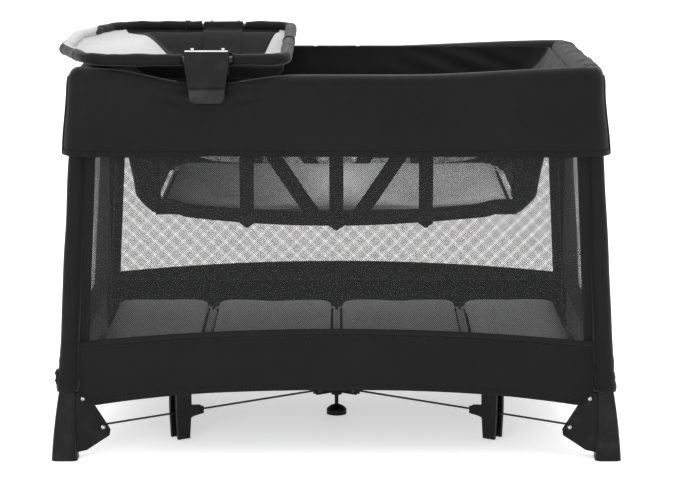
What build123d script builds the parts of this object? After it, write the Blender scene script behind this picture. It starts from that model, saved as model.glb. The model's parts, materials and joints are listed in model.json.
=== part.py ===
"""Travel play yard with a bassinet and a changing table. Units are mm, +Z is up.

The origin is on the floor under the centre foot. X runs along the long sides, and the front is at -Y.
The frame folds as one linkage. Four struts under the floor join a central hub to the corner feet, thin
rods below them keep the legs upright, and each top rail breaks downwards at a hinge in its middle.
"""
import os
from math import atan2, cos, hypot, sin

from build123d import *

os.makedirs("parts", exist_ok=True)

# Driving dimensions
SPAN_X = 418            # plan length along X of a strut, and length of a half rail on the long sides
SPAN_Y = 272            # the same along Y, for the short sides
HUB_PIVOT_R = 88        # hub centre to strut pivot
FOOT_REACH = 24         # leg axis to strut pivot in the corner foot
ROD_IN = 42             # rod pivots sit this far inwards of the strut pivots
ROD_DROP = 62           # and this far below them
PIVOT_Z = 117           # height of the strut pivots
RAIL_Z = 712            # height of the top rails' axes
MID_X = 32              # half spacing of the two pivots in a middle hinge, long sides
MID_Y = 20              # the same, short sides
RAIL_REACH = 28         # leg axis to rail pivot
TUBE_R = 11             # legs and rails
STRUT_R = 9
ROD_R = 2
PIN_R = 3
SMALL_PIN_R = 2
PLAY = 0.08             # running clearance of a pin in its bore
MID_LEG_SHARE = 0.56    # place of the mid leg along its strut, from the hub

COVER_TOP = 735
COVER_HEM = 585
COVER_OUT_X = 503
COVER_OUT_Y = 342
COVER_WIDTH = 43
BAND_TOP = 246
BAND_HEM = 134
FLOOR_Z = 142
MATTRESS = (948, 600, 33)
BASSINET_BASE = 440
BASSINET_BOARD = 22     # stiffened floor of the bassinet

CHANGER_Z = 763         # axis of the changing table's tubes
CHANGER_TUBE_R = 6.5
CHANGER_Y = 322
LEFT_PIN_X = -268
RIGHT_PIN_X = -211
CLIP_X = (-281, -199)

angle = atan2(SPAN_Y, SPAN_X)
C = cos(angle)
S = sin(angle)
STRUT_LENGTH = hypot(SPAN_X, SPAN_Y)
HUB_PIVOT = (HUB_PIVOT_R * C, HUB_PIVOT_R * S)
FOOT_PIVOT = (HUB_PIVOT[0] + SPAN_X, HUB_PIVOT[1] + SPAN_Y)
LEG_LOW = (FOOT_PIVOT[0] + FOOT_REACH * C, FOOT_PIVOT[1] + FOOT_REACH * S)
LEG_TOP = (MID_X + SPAN_X + RAIL_REACH, MID_Y + SPAN_Y + RAIL_REACH)
MID_LEG = (HUB_PIVOT[0] + MID_LEG_SHARE * SPAN_X, HUB_PIVOT[1] + MID_LEG_SHARE * SPAN_Y)

CORNERS = {
    "front_left": (-1, -1),
    "front_right": (1, -1),
    "back_left": (-1, 1),
    "back_right": (1, 1),
}


def save(shape, node):
    shape.label = node
    export_step(shape, f"parts/{node}.step")


def at_corner(shape, signs):
    """Mirrors a shape made in the +X +Y corner to another corner."""
    if signs[0] < 0:
        shape = mirror(shape, about=Plane.YZ)
    if signs[1] < 0:
        shape = mirror(shape, about=Plane.XZ)
    return shape


def block(x, y, z):
    """A box from its low and high limits."""
    size = (x[1] - x[0], y[1] - y[0], z[1] - z[0])
    return Pos((x[0] + x[1]) / 2, (y[0] + y[1]) / 2, (z[0] + z[1]) / 2) * Box(*size)


def bar(start, end, radius):
    """A round bar between two points."""
    line = Vector(*end) - Vector(*start)
    upright = (Align.CENTER, Align.CENTER, Align.MIN)
    return Plane(origin=start, z_dir=line) * Cylinder(radius, line.length, align=upright)


def leg_point(z):
    """A point on the axis of the leg, which leans outwards towards the floor."""
    t = (z - PIVOT_Z) / (RAIL_Z - PIVOT_Z)
    x = LEG_LOW[0] + t * (LEG_TOP[0] - LEG_LOW[0])
    y = LEG_LOW[1] + t * (LEG_TOP[1] - LEG_LOW[1])
    return (x, y, z)


def inward(origin):
    """The upright plane through a point, local x towards the hub and local y up."""
    return Plane(origin=(origin[0], origin[1], 0), x_dir=(-C, -S, 0), z_dir=(-S, C, 0))


def outward():
    """The upright plane through the hub's centre, local x towards the corner and local y up."""
    return Plane(origin=(0, 0, 0), x_dir=(C, S, 0), z_dir=(S, -C, 0))


def plate(plane, points, half):
    """A flat plate of the given outline, half its thickness to each side of the plane."""
    return extrude(plane * make_face(Polyline(*points, close=True)), amount=half, both=True)


def window(plane, low, high, half):
    """A rectangular plate, for cutting slots."""
    points = [low, (high[0], low[1]), high, (low[0], high[1])]
    return plate(plane, points, half)


def pin(plane, u, v, radius, half):
    return plane * Pos(u, v, 0) * Cylinder(radius, 2 * half)


def headed_pin(plane, u, v, radius, grip):
    """A pin through parts of total thickness 2 x grip, with a low round head outside each end."""
    ends = Cylinder(radius, 2 * grip + 4)
    for side in (-1, 1):
        ends += Pos(0, 0, side * (grip + 1.1)) * Cylinder(radius + 2.4, 1.8)
    return plane * Pos(u, v, 0) * ends


# Corner feet: a tapered socket round the leg, with a fin that holds the strut and the rod
def corner_foot():
    plane = inward(LEG_LOW)
    base = leg_point(6)
    socket = loft([
        Plane((base[0], base[1], 0)) * RectangleRounded(50, 46, 11),
        Plane((base[0], base[1], 26)) * RectangleRounded(46, 42, 10),
        Plane(leg_point(132)) * RectangleRounded(33, 33, 8),
    ])
    fin = plate(plane, [(0, 12), (32, 14), (81, 36), (83, 48), (72, 66), (43, 112), (37, 128),
                        (0, 128)], 14.5)
    foot = socket + fin
    foot -= window(plane, (FOOT_REACH - 10.5, PIVOT_Z - 10.5), (120, 150), 9.7)
    rod_u = FOOT_REACH + ROD_IN
    rod_v = PIVOT_Z - ROD_DROP
    foot -= window(plane, (rod_u - 6, rod_v - 6), (120, 100), 3.1)
    foot -= pin(plane, FOOT_REACH, PIVOT_Z, PIN_R + PLAY, 20)
    foot -= pin(plane, rod_u, rod_v, SMALL_PIN_R + PLAY, 20)
    return foot - bar(leg_point(29.8), leg_point(140), TUBE_R + 0.05)


# Corner caps: a plastic cap on the leg with a clevis for each of the two top rails
def corner_cap():
    cap = bar(leg_point(684), leg_point(727), 14)
    x, y, _ = leg_point(RAIL_Z)
    z = (RAIL_Z - 9.5, RAIL_Z + 9.5)
    cap += block((x - RAIL_REACH - 9.5, x), (y - 11.5, y + 11.5), z)
    cap += block((x - 11.5, x + 11.5), (y - RAIL_REACH - 9.5, y), z)
    cap -= block((x - 60, x - 17), (y - 5.3, y + 5.3), (680, 740))
    cap -= block((x - 5.3, x + 5.3), (y - 60, y - 17), (680, 740))
    cap -= Pos(x - RAIL_REACH, y, RAIL_Z) * Rot(90, 0, 0) * Cylinder(PIN_R + PLAY, 40)
    cap -= Pos(x, y - RAIL_REACH, RAIL_Z) * Rot(0, 90, 0) * Cylinder(PIN_R + PLAY, 40)
    return cap - bar(leg_point(670), leg_point(716.2), TUBE_R + 0.05)


# Struts: tubes with rounded ends, and pins at the foot, the hub and the mid leg
def strut():
    low = (FOOT_PIVOT[0], FOOT_PIVOT[1], PIVOT_Z)
    high = (HUB_PIVOT[0], HUB_PIVOT[1], PIVOT_Z)
    beyond = (STRUT_R * C, STRUT_R * S)
    tube = bar((low[0] + beyond[0], low[1] + beyond[1], PIVOT_Z),
               (high[0] - beyond[0], high[1] - beyond[1], PIVOT_Z), STRUT_R)
    tube = fillet(tube.edges().filter_by(GeomType.CIRCLE), STRUT_R - 0.5)
    for place, grip in ((FOOT_PIVOT, 14.5), (HUB_PIVOT, 14.5), (MID_LEG, 16)):
        tube += headed_pin(inward(place), 0, PIVOT_Z, PIN_R, grip)
    return tube


# Rods: thin wire with an eye at the hub, the mid leg and the foot
def rod():
    z = PIVOT_Z - ROD_DROP
    points = [(p[0] - ROD_IN * C, p[1] - ROD_IN * S) for p in (HUB_PIVOT, MID_LEG, FOOT_PIVOT)]
    wire = bar((*points[0], z), (*points[2], z), ROD_R)
    for place in points:
        wire += pin(inward(place), 0, z, 5, 2.6)
    wire += headed_pin(inward(points[0]), 0, z, SMALL_PIN_R, 7)
    wire += headed_pin(inward(points[2]), 0, z, SMALL_PIN_R, 14.5)
    return wire - pin(inward(points[1]), 0, z, SMALL_PIN_R + PLAY, 10)


# Mid legs: channels that hang from the struts and take the rods in a small arm
def mid_leg():
    plane = inward(MID_LEG)
    rod_v = PIVOT_Z - ROD_DROP
    body = plate(plane, [(-15, 133), (15, 133), (18, 100), (18, 60), (14, 4), (-12, 4), (-15, 60)], 16)
    body += plate(plane, [(10, 69), (28, 65), (50, 62), (50, 48), (28, 45), (10, 38)], 8)
    body -= window(plane, (-10.5, PIVOT_Z - 10), (70, 150), 9.7)
    body -= window(plane, (-70, -10), (10, PIVOT_Z + 10), 9.7)
    body -= window(plane, (ROD_IN - 6, rod_v - 6), (70, 100), 3.1)
    body -= window(plane, (-70, -10), (ROD_IN + 6, rod_v + 6), 3.1)
    body -= pin(plane, 0, PIVOT_Z, PIN_R + PLAY, 20)
    return body + pin(plane, ROD_IN, rod_v, SMALL_PIN_R, 9)


# Half rails: a tube with a flat tang and a pin at each end
def half_rail(length):
    tube = Pos(length / 2, 0, 0) * Rot(0, 90, 0) * Cylinder(TUBE_R, length - 32)
    for end, side in ((0, 1), (length, -1)):
        inner = end + side * 20
        tube += block((min(end, inner), max(end, inner)), (-5, 5), (-8.5, 8.5))
        tube += Pos(end, 0, 0) * Rot(90, 0, 0) * Cylinder(8.5, 10)
        tube += Pos(end, 0, 0) * Rot(90, 0, 0) * Cylinder(PIN_R, 23)
    return tube


# Middle hinges: a moulded block between the two halves of a rail, level in every pose
def mid_hinge(half_spacing, latch):
    end = half_spacing + 9.5
    body = block((-end, end), (-13, 13), (-12, 9.5))
    if latch:
        body += block((-17, 17), (-13, 13), (-22, -9))
    for side in (-1, 1):
        slot = sorted((side * (half_spacing - 10.5), side * 70))
        body -= block(slot, (-5.3, 5.3), (-9.6, 40))
        body -= Pos(side * half_spacing, 0, 0) * Rot(90, 0, 0) * Cylinder(PIN_R + PLAY, 40)
    return body


# Hub: ribbed cup with four arms for the struts and four small ears for the rods
def hub_body():
    rod_r = HUB_PIVOT_R - ROD_IN
    rod_v = PIVOT_Z - ROD_DROP
    profile = Polyline((0, 41), (11, 41), (12, 66), (26, 76), (30, 84), (53, 126), (53, 134),
                       (0, 134), close=True)
    cup = revolve(Plane.XZ * make_face(profile), axis=Axis.Z)
    for k in range(24):
        rib = plate(Plane.XZ, [(12, 70), (30, 79), (55, 126), (55, 130), (12, 130)], 1.2)
        cup += Rot(0, 0, 15 * k) * rib
    plane = outward()
    arm = plate(plane, [(20, 100), (98, 105), (99, 130), (90, 134), (20, 134)], 14.5)
    arm -= window(plane, (HUB_PIVOT_R - 10.5, -10), (130, PIVOT_Z + 10), 9.7)
    arm -= pin(plane, HUB_PIVOT_R, PIVOT_Z, PIN_R + PLAY, 20)
    ear = plate(plane, [(4, 47), (52, 47), (53, 63), (44, 78), (4, 78)], 7)
    for signs in CORNERS.values():
        cup += at_corner(arm, signs)
        cup += at_corner(ear, signs)
    notch = window(plane, (HUB_PIVOT_R - 10.5, -10), (130, PIVOT_Z + 10), 9.7)
    slot = window(plane, (rod_r - 6, -10), (70, rod_v + 6), 3.1)
    slot += pin(plane, rod_r, rod_v, SMALL_PIN_R + PLAY, 10)
    for signs in CORNERS.values():
        cup -= at_corner(notch, signs)
        cup -= at_corner(slot, signs)
    return cup - Pos(0, 0, 50) * Cylinder(4.05, 40)


# Centre foot: a thin post with a domed foot, flat underneath
def hub_foot():
    dome = Pos(0, 0, -6) * Sphere(26) & block((-30, 30), (-30, 30), (0, 20))
    dome = dome & Pos(0, 0, 10) * Cylinder(20.5, 20)
    return dome + Pos(0, 0, 42) * Cylinder(4, 50)


def hub_strap():
    """Webbing loop that lies flat on the hub; the frame is folded by pulling it."""
    strap = Pos(0, 0, 136) * Box(120, 26, 2.4)
    return fillet(strap.edges().filter_by(Axis.Z), 8)


def cover(half_length, inner_half, across):
    """Padded cover of one top rail, an inverted channel along X.

    inner_half is the half length of its inner skirt, and across is its outer and inner Y.
    """
    out, near = across
    body = block((-half_length, half_length), (near, out), (COVER_HEM, COVER_TOP))
    body = fillet(body.edges().filter_by(Axis.X).group_by(Axis.Z)[-1], 5)
    inside = half_length - 3 if inner_half < half_length else half_length + 1
    body -= block((-inside, inside), (near + 3, out - 3), (COVER_HEM - 1, COVER_TOP - 6))
    if inner_half < half_length:
        for side in (-1, 1):
            gap = sorted((side * inner_half, side * inside))
            body -= block(gap, (near - 1, near + 4), (COVER_HEM - 1, COVER_TOP - 6))
    hem = (COVER_HEM - 1, COVER_HEM + 25)
    body -= block((-inner_half - 1, inner_half + 1), (near - 1, near + 3.5), hem)
    return body


def tray(outline, z, wall, floor):
    """An open tray of the given outline."""
    face = make_face(Polyline(*outline, close=True))
    body = Pos(0, 0, z[0]) * extrude(face, z[1] - z[0])
    return body - Pos(0, 0, z[0] + floor) * extrude(offset(face, -wall), z[1] - z[0])


for corner, signs in CORNERS.items():
    save(at_corner(bar(leg_point(30), leg_point(716), TUBE_R), signs), f"leg_tube_{corner}")
    save(at_corner(corner_foot(), signs), f"corner_foot_{corner}")
    save(at_corner(corner_cap(), signs), f"corner_cap_{corner}")
    save(at_corner(strut(), signs), f"strut_{corner}")
    save(at_corner(rod(), signs), f"rod_{corner}")
    save(at_corner(mid_leg(), signs), f"mid_leg_{corner}")
    long_half = Pos(MID_X, LEG_TOP[1], RAIL_Z) * half_rail(SPAN_X)
    save(at_corner(long_half, signs), f"long_rail_{corner}")
    short_half = Pos(LEG_TOP[0], MID_Y, RAIL_Z) * Rot(0, 0, 90) * half_rail(SPAN_Y)
    save(at_corner(short_half, signs), f"short_rail_{corner}")

long_hinge = Pos(0, LEG_TOP[1], RAIL_Z) * mid_hinge(MID_X, True)
short_hinge = Pos(LEG_TOP[0], 0, RAIL_Z) * Rot(0, 0, 90) * mid_hinge(MID_Y, False)
across = (COVER_OUT_Y, COVER_OUT_Y - COVER_WIDTH)
long_cover = cover(COVER_OUT_X, COVER_OUT_X - COVER_WIDTH - 5, across)
side_half = COVER_OUT_Y - COVER_WIDTH - 1
across = (COVER_OUT_X, COVER_OUT_X - COVER_WIDTH - 4)
short_cover = Rot(0, 0, -90) * cover(side_half, side_half, across)
long_wall = block((-462, 462), (327, 330), (BAND_TOP + 3, 680))
short_wall = block((487, 490), (-302, 302), (BAND_TOP + 3, 680))
long_band = block((-484, 484), (330, 334), (BAND_HEM, BAND_TOP))
short_band = block((496, 500), (-310, 310), (BAND_HEM, BAND_TOP))
long_side = {"hinge": long_hinge, "cover": long_cover, "wall": long_wall, "band": long_band}
short_side = {"hinge": short_hinge, "cover": short_cover, "wall": short_wall, "band": short_band}
for name, shape in long_side.items():
    save(at_corner(shape, (1, -1)), f"{name}_front")
    save(shape, f"{name}_back")
for name, shape in short_side.items():
    save(at_corner(shape, (-1, 1)), f"{name}_left")
    save(shape, f"{name}_right")

save(hub_body(), "hub_body")
save(hub_foot(), "hub_foot")
save(hub_strap(), "hub_strap")
save(block((-470, 470), (-305, 305), (FLOOR_Z, FLOOR_Z + 4)), "floor_panel")

# Mattress: a folding pad, one padded board between floor and bassinet
length, width, thick = MATTRESS
pad = Pos(0, 0, FLOOR_Z + 5 + thick / 2) * Box(length, width, thick)
pad = fillet(pad.edges().filter_by(Axis.Z), 30)
save(fillet(pad.edges().group_by(Axis.Z)[-1], 12), "mattress")

# Bassinet: an open fabric box hung inside the rails, with its own thin pad
outer = loft([
    Plane((0, 0, BASSINET_BASE)) * RectangleRounded(704, 548, 20),
    Plane((0, 0, 722)) * RectangleRounded(776, 574, 20),
])
inner = loft([
    Plane((0, 0, BASSINET_BASE + BASSINET_BOARD)) * RectangleRounded(696, 540, 16),
    Plane((0, 0, 723)) * RectangleRounded(766, 564, 16),
])
save(outer - inner, "bassinet_shell")
bassinet_pad = Pos(0, 0, BASSINET_BASE + BASSINET_BOARD + 11.5) * Box(680, 524, 20)
bassinet_pad = fillet(bassinet_pad.edges().filter_by(Axis.Z), 20)
save(fillet(bassinet_pad.edges().group_by(Axis.Z)[-1], 6), "bassinet_pad")


# Changing table: two bent tubes, a fabric tub in two halves and a clip on each long rail
def changer_tube(points, radius, pin_x):
    path = FilletPolyline(*[(x, y, CHANGER_Z) for x, y in points], radius=radius)
    end = points[0]
    way = 1 if points[1][0] > end[0] else -1
    section = Plane(origin=(end[0], end[1], CHANGER_Z), z_dir=(way, 0, 0)) * Circle(CHANGER_TUBE_R)
    tube = sweep(section, path=path)
    for side in (-1, 1):
        place = Pos(pin_x, side * CHANGER_Y, CHANGER_Z)
        tube += place * Rot(90, 0, 0) * Cylinder(CHANGER_TUBE_R, 12)
        tube += place * Rot(90, 0, 0) * Cylinder(2.5, 25)
    return tube


left_points = [(LEFT_PIN_X, -CHANGER_Y), (-462, -CHANGER_Y), (-527, -130), (-527, 130),
               (-462, CHANGER_Y), (LEFT_PIN_X, CHANGER_Y)]
right_points = [(RIGHT_PIN_X, -CHANGER_Y), (-95, -CHANGER_Y), (-95, CHANGER_Y),
                (RIGHT_PIN_X, CHANGER_Y)]
save(changer_tube(left_points, 75, LEFT_PIN_X), "changer_tube_left")
save(changer_tube(right_points, 45, RIGHT_PIN_X), "changer_tube_right")


def clip(top):
    """A clip that sits astride the padded rail, with two steel-lined cheeks for the tubes' pins."""
    middle = (CLIP_X[0] + CLIP_X[1]) / 2
    body = block(CLIP_X, (291, 335), (738, 749))
    body += block((middle - 34, middle + 34), (330, 348), (738, 749))
    plane = Plane(origin=(middle, 350.5, 0), x_dir=(1, 0, 0), z_dir=(0, -1, 0))
    half = (CLIP_X[1] - CLIP_X[0]) / 2
    body += plate(plane, [(-34, 711), (34, 711), (half, 758), (half, top), (-half, top), (-half, 758)],
                  4.5)
    plane = Plane(origin=(middle, 353, 0), x_dir=(1, 0, 0), z_dir=(0, -1, 0))
    body += plate(plane, [(-34, 713), (34, 713), (33, 697), (29, 689), (22, 686), (-22, 686),
                          (-29, 689), (-33, 697)], 7)
    body += block(CLIP_X, (291, 297), (702, 749))
    for y in ((CHANGER_Y - 11, CHANGER_Y - 8), (CHANGER_Y + 8, CHANGER_Y + 11)):
        body += block(CLIP_X, y, (747, 771))
    for x in (LEFT_PIN_X, RIGHT_PIN_X):
        body -= Pos(x, CHANGER_Y, CHANGER_Z) * Rot(90, 0, 0) * Cylinder(2.5 + PLAY, 30)
    return body


front_clip = at_corner(clip(781), (1, -1))
save(Compound(children=[front_clip, clip(768)]), "changer_clips")

tub = [(-110, -288), (-435, -288), (-511, -125), (-511, 125), (-435, 288), (-110, 288)]
whole = tray(tub, (738, 764), 3, 3)
save(whole & block((-600, -240.5), (-400, 400), (700, 800)), "changer_sling_left")
save(whole & block((-239.5, 0), (-400, 400), (700, 800)), "changer_sling_right")
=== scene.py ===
"""Looks of the travel play yard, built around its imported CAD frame.

Everything is in metres in the frame's own axes: the floor is z = 0, the long sides run along X and the
front is at -Y. Soft goods are made here as meshes; metal and plastic stay as the frame's own nodes.
"""
import json
import math

import bmesh
import bpy
import numpy as np
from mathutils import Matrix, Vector, noise


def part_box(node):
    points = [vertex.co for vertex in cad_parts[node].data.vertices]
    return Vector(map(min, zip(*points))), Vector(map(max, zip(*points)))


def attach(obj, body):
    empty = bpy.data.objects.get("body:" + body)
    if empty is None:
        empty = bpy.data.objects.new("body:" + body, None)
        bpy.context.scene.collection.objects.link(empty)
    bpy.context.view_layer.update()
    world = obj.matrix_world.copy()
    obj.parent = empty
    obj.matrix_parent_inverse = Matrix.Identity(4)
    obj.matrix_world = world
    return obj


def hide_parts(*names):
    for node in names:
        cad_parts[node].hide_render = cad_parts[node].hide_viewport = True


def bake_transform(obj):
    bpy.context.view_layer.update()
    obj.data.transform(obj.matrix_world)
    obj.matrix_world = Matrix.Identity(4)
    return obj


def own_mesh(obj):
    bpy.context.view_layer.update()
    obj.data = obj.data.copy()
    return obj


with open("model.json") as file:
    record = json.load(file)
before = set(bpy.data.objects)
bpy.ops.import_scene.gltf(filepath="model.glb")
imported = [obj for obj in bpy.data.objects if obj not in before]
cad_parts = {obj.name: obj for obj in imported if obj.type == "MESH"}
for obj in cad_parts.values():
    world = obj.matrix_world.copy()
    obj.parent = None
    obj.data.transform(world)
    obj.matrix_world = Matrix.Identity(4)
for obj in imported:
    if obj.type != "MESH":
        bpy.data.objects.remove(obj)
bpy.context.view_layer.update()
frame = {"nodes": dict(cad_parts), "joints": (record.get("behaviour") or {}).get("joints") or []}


# ---- places read from the frame
def points_of(obj):
    return np.array([v.co for v in obj.data.vertices])


def axis_end(node, top):
    """The middle of a tube's top or bottom end."""
    points = points_of(frame["nodes"][node])
    z = points[:, 2]
    near = points[z > z.max() - 0.004] if top else points[z < z.min() + 0.004]
    return (near.min(0) + near.max(0)) / 2


LEG_TOP = np.abs(axis_end("leg_tube_back_right", True))
LEG_LOW = np.abs(axis_end("leg_tube_back_right", False))
FOOT_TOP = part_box("corner_foot_front_left")[1].z

cover_low, cover_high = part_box("cover_front")
COVER_X = cover_high.x
COVER_Y = -cover_low.y
COVER_IN_Y = -cover_high.y
COVER_IN_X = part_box("cover_right")[0].x
COVER_TOP = cover_high.z
COVER_HEM = cover_low.z

WALL_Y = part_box("wall_back")[0].y + 0.0015
WALL_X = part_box("wall_right")[0].x + 0.0015
BAND_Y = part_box("band_back")[0].y + 0.002
BAND_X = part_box("band_right")[0].x + 0.002
BAND_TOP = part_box("band_front")[1].z
BAND_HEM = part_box("band_front")[0].z

shell_low, shell_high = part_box("bassinet_shell")
tube_low, tube_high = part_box("changer_tube_left")
TUBE_Z = (tube_low.z + tube_high.z) / 2
PIN_X = {joint["name"]: joint["pos_m"][0] for joint in frame["joints"] if "pos_m" in joint}
LEFT_PIN = PIN_X["changer_left_fold"]
RIGHT_PIN = PIN_X["changer_right_fold"]
SPLIT_X = (LEFT_PIN + RIGHT_PIN) / 2
CHANGER_Y = tube_high.y - 0.0125


LONG_SIDES = ("front", "back")
CORNERS = {"front_left": (-1, -1), "front_right": (1, -1), "back_left": (-1, 1), "back_right": (1, 1)}


def outward(side):
    """The direction, along its own axis, in which a side of the yard faces."""
    return 1 if side in ("back", "right") else -1


def leg_axis(z):
    """Distance of the leg's axis from the middle along X and along Y at a height."""
    t = (z - LEG_LOW[2]) / (LEG_TOP[2] - LEG_LOW[2])
    return LEG_LOW[0] + t * (LEG_TOP[0] - LEG_LOW[0]), LEG_LOW[1] + t * (LEG_TOP[1] - LEG_LOW[1])


# ---- small shapes of numbers
def ease(t):
    t = np.clip(t, 0.0, 1.0)
    return t * t * (3 - 2 * t)


def hump(value, middle, reach):
    """1 at the middle, easing to 0 at the reach to each side."""
    return ease(1 - np.abs(value - middle) / reach)


def wander(points, scale, seed):
    """Smooth noise from about -1 to 1 at each point of an array of points."""
    flat = np.asarray(points, float).reshape(-1, 3) * scale + seed
    values = [noise.noise(Vector(p)) for p in flat]
    return np.array(values).reshape(np.asarray(points).shape[:-1])


# ---- materials
class Shade:
    """A material under construction: each method adds a node and returns its output socket."""

    def __init__(self, name, roughness, **settings):
        self.material = bpy.data.materials.new(name)
        self.material.use_nodes = True
        self.tree = self.material.node_tree
        self.shader = self.tree.nodes["Principled BSDF"]
        self.shader.inputs["Roughness"].default_value = roughness
        for socket, value in settings.items():
            self.shader.inputs[socket.replace("_", " ")].default_value = value
        self.place = self.node("TexCoord").outputs["Object"]
        split = self.node("SeparateXYZ")
        self.feed(split.inputs[0], self.place)
        self.x, self.y, self.z = split.outputs

    def node(self, kind):
        return self.tree.nodes.new(f"ShaderNode{kind}")

    def feed(self, socket, value):
        if isinstance(value, bpy.types.NodeSocket):
            self.tree.links.new(value, socket)
        else:
            socket.default_value = value

    def math(self, operation, first, second=0.0, third=0.0):
        node = self.node("Math")
        node.operation = operation
        for socket, value in zip(node.inputs, (first, second, third)):
            self.feed(socket, value)
        return node.outputs[0]

    def sine(self, value, per_metre):
        return self.math("SINE", self.math("MULTIPLY", value, per_metre))

    def noise(self, scale, detail=3.0, stretch=None):
        node = self.node("TexNoise")
        self.feed(node.inputs["Scale"], scale)
        self.feed(node.inputs["Detail"], detail)
        place = self.place
        if stretch:
            mapping = self.node("Mapping")
            self.feed(mapping.inputs["Scale"], stretch)
            self.feed(mapping.inputs[0], place)
            place = mapping.outputs[0]
        self.feed(node.inputs["Vector"], place)
        return node.outputs[0]

    def mix(self, share, first, second):
        node = self.node("Mix")
        node.data_type = "RGBA"
        self.feed(node.inputs[0], share)
        self.feed(node.inputs[6], first)
        self.feed(node.inputs[7], second)
        return node.outputs[2]

    def spread(self, value, low, high):
        """Maps the range 0 to 1 to low to high."""
        return self.math("MULTIPLY_ADD", value, high - low, low)

    def colour(self, value):
        self.feed(self.shader.inputs["Base Color"], value)

    def rough(self, value):
        self.feed(self.shader.inputs["Roughness"], value)

    def alpha(self, value):
        self.feed(self.shader.inputs["Alpha"], value)

    def relief(self, *heights):
        """Stacks bumps, each given as (height, depth in metres)."""
        normal = None
        for height, depth in heights:
            node = self.node("Bump")
            self.feed(node.inputs["Distance"], depth)
            self.feed(node.inputs["Height"], height)
            if normal:
                self.feed(node.inputs["Normal"], normal)
            normal = node.outputs[0]
        self.feed(self.shader.inputs["Normal"], normal)


def grey(level, warmth=0.0):
    return (level * (1 + warmth), level, level * (1 - warmth), 1.0)


def woven(name, dark, light, period=0.0016, roughness=0.62, sheen=0.25, creases=0.0008):
    """Plain-weave cloth with fine creases. Dark and light are the two thread colours."""
    s = Shade(name, roughness, Sheen_Weight=sheen, Sheen_Roughness=0.3, Specular_IOR_Level=0.10)
    rate = math.pi / period
    warp = s.sine(s.math("ADD", s.x, s.y), rate)
    across = s.math("ADD", s.z, s.math("MULTIPLY", s.math("SUBTRACT", s.x, s.y), 0.5))
    weft = s.sine(across, rate)
    weave = s.math("MULTIPLY", warp, weft)
    broad = s.noise(7.0, 2.0)
    fleck = s.noise(420.0, 2.0)
    share = s.math("ADD", s.spread(weave, 0.42, 0.62), s.spread(broad, -0.35, 0.35))
    share = s.math("ADD", share, s.spread(fleck, -0.16, 0.16))
    s.colour(s.mix(share, dark, light))
    s.rough(s.spread(s.noise(60.0, 2.0), roughness - 0.08, roughness + 0.1))
    fine = s.noise(30.0, 4.0)
    s.relief((fine, creases), (weave, 0.00012))
    return s.material


def netting(name, along_x, thread, period=0.0040, half=0.245):
    """Net with diamond holes in an upright plane along X or along Y."""
    s = Shade(name, 0.7)
    across = s.x if along_x else s.y
    rate = math.pi / period
    up = s.math("ABSOLUTE", s.sine(s.math("ADD", across, s.z), rate))
    down = s.math("ABSOLUTE", s.sine(s.math("SUBTRACT", across, s.z), rate))
    nearest = s.math("MINIMUM", up, down)
    s.alpha(s.spread(s.math("LESS_THAN", nearest, half), 0.08, 1.0))
    s.colour(s.mix(s.noise(500.0), grey(thread * 0.7), grey(thread * 1.3)))
    s.relief((nearest, 0.0002))
    return s.material


def moulded(name, level, roughness=0.42, grain=0.00012, wear=0.3):
    """Moulded plastic with a fine spark grain and faint rubbed patches."""
    s = Shade(name, roughness, IOR=1.48, Specular_IOR_Level=0.14)
    grain_height = s.noise(900.0, 2.0)
    rub = s.noise(38.0, 4.0)
    rubbed = s.math("GREATER_THAN", rub, 0.5)
    share = s.math("MULTIPLY", s.math("MULTIPLY", s.math("SUBTRACT", rub, 0.5), 4.0), rubbed)
    share = s.math("MULTIPLY", share, wear)
    s.colour(s.mix(share, grey(level), grey(level * 3.2 + 0.01)))
    s.rough(s.spread(s.noise(55.0, 3.0), roughness - 0.1, roughness + 0.14))
    s.relief((grain_height, grain), (s.noise(14.0, 1.0), 0.0003))
    return s.material


def metal(name, level, roughness, plated):
    """Steel: plated metal with drawing lines, or painted black with orange-peel."""
    s = Shade(name, roughness, Metallic=1.0 if plated else 0.0)
    lines = s.noise(60.0, 4.0, (1.0, 1.0, 14.0))
    stain = s.noise(22.0, 3.0)
    s.colour(s.mix(stain, grey(level * 0.75), grey(level * 1.15)))
    s.rough(s.spread(lines, roughness - 0.08, roughness + 0.12))
    s.relief((lines if plated else s.noise(600.0, 1.0), 0.00006))
    return s.material


def ribbed(name, level, period=0.0022):
    """Webbing or binding tape: heavy ribs across a dark band."""
    s = Shade(name, 0.75, Sheen_Weight=0.1, Sheen_Roughness=0.3, Specular_IOR_Level=0.2)
    rib = s.sine(s.math("ADD", s.x, s.math("ADD", s.y, s.z)), 2 * math.pi / period)
    share = s.math("ADD", s.spread(rib, 0.35, 0.6), s.spread(s.noise(300.0), -0.2, 0.2))
    s.colour(s.mix(share, grey(level * 0.6), grey(level * 1.5)))
    s.relief((rib, 0.00025))
    return s.material


BLACK_CLOTH = woven("black_polyester", grey(0.0040), grey(0.0090, -0.01), sheen=0.22)
SLEEVE_CLOTH = woven("sleeve_polyester", grey(0.004), grey(0.009, -0.01), creases=0.0012)
DEEP_CLOTH = woven("bassinet_polyester", grey(0.004), grey(0.009), sheen=0.1)
WHITE_CLOTH = woven("white_lining", grey(0.38), grey(0.54), roughness=0.7, sheen=0.05, creases=0.0040)
PALE_CLOTH = woven("pale_grey_knit", grey(0.72), grey(0.88), 0.0024, 0.8, 0.1, 0.0006)
PAD_CLOTH = woven("bassinet_pad_knit", grey(0.70), grey(0.86), 0.0024, 0.8, 0.1, 0.0006)
BOARD_CLOTH = woven("mattress_underside", grey(0.008), grey(0.016))
TAPE = ribbed("binding_tape", 0.006)
STRAP = ribbed("webbing", 0.010, 0.0028)
THREAD = woven("stitching_thread", grey(0.007), grey(0.018), 0.0008)
NET_X = netting("net_along_x", True, 0.008, half=0.27)
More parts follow.
